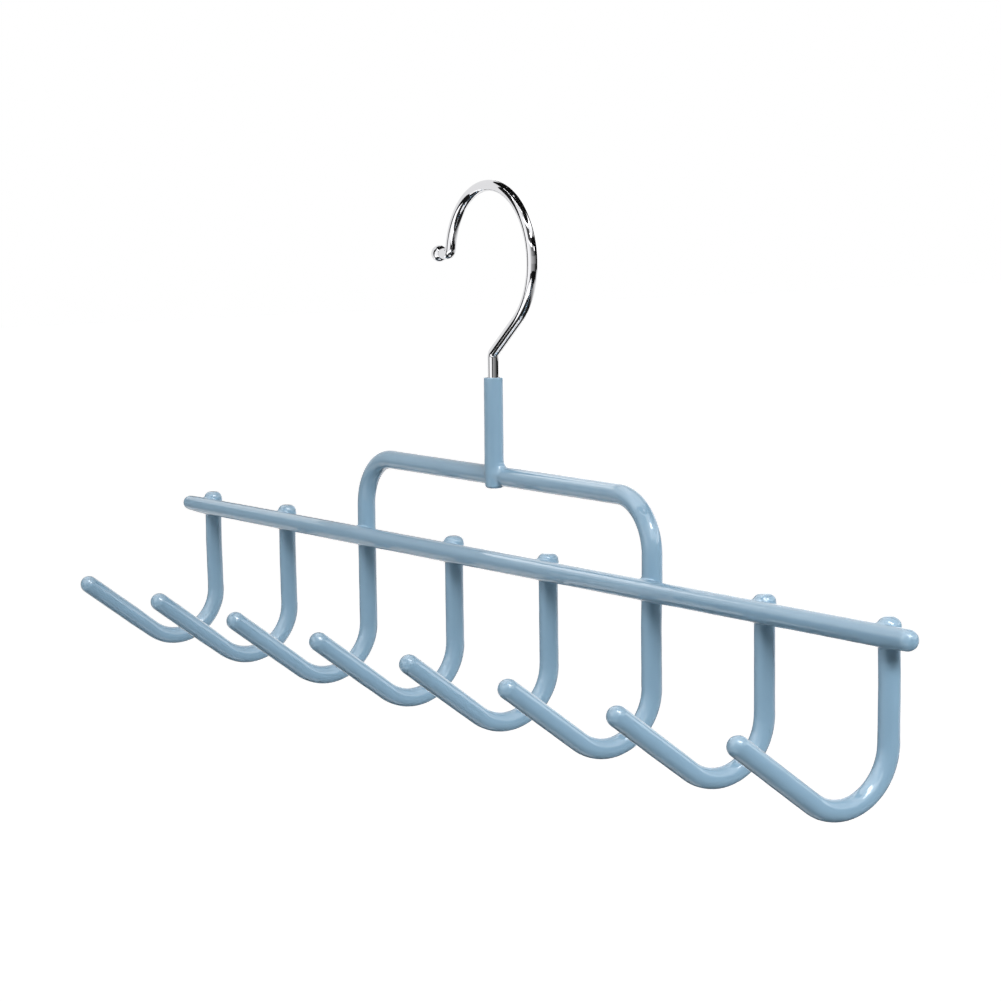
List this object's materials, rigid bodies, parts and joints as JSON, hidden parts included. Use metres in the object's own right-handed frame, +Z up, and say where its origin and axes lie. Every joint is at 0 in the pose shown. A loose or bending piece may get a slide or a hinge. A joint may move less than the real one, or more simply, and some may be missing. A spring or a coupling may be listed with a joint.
{
  "type": "multi-hook hanger",
  "caption": "Coated wire hanger with a row of open J hooks on a straight crossbar, carried by an inverted-U frame and a swivelling chrome rod hook.",
  "frame": {"origin": "where the closet rod bears, under the crown of the rod hook, on the swivel axis", "axes": "+Z up along the swivel axis; +X along the crossbar, away from the side that the rod hook opens to; -Y the way that the small hooks reach out"},
  "size_m": [0.377, 0.0525, 0.1553],
  "materials": {
    "blue_coating": "dip-coated soft vinyl, satin gloss",
    "bright_steel": "bare drawn steel",
    "chrome": "bright plated"
  },
  "bodies": {
    "hook": {"rod_hook": "chrome", "retaining_ring": "bright_steel"},
    "hanger": {"sleeve_tube": "bright_steel", "sleeve_coat": "blue_coating", "crossbar_core": "bright_steel", "crossbar_coat": "blue_coating", "frame_core": "bright_steel", "frame_coat": "blue_coating", "j_hook_1_core": "bright_steel", "j_hook_1_coat": "blue_coating", "j_hook_2_core": "bright_steel", "j_hook_2_coat": "blue_coating", "j_hook_4_core": "bright_steel", "j_hook_4_coat": "blue_coating", "j_hook_5_core": "bright_steel", "j_hook_5_coat": "blue_coating", "j_hook_7_core": "bright_steel", "j_hook_7_coat": "blue_coating", "j_hook_8_core": "bright_steel", "j_hook_8_coat": "blue_coating"}
  },
  "joints": [
    {"name": "hook_swivel", "type": "hinge", "parent": "hook", "child": "hanger", "pos_m": [0, 0, -0.05353], "axis": [0, 0, 1], "continuous": true}
  ]
}
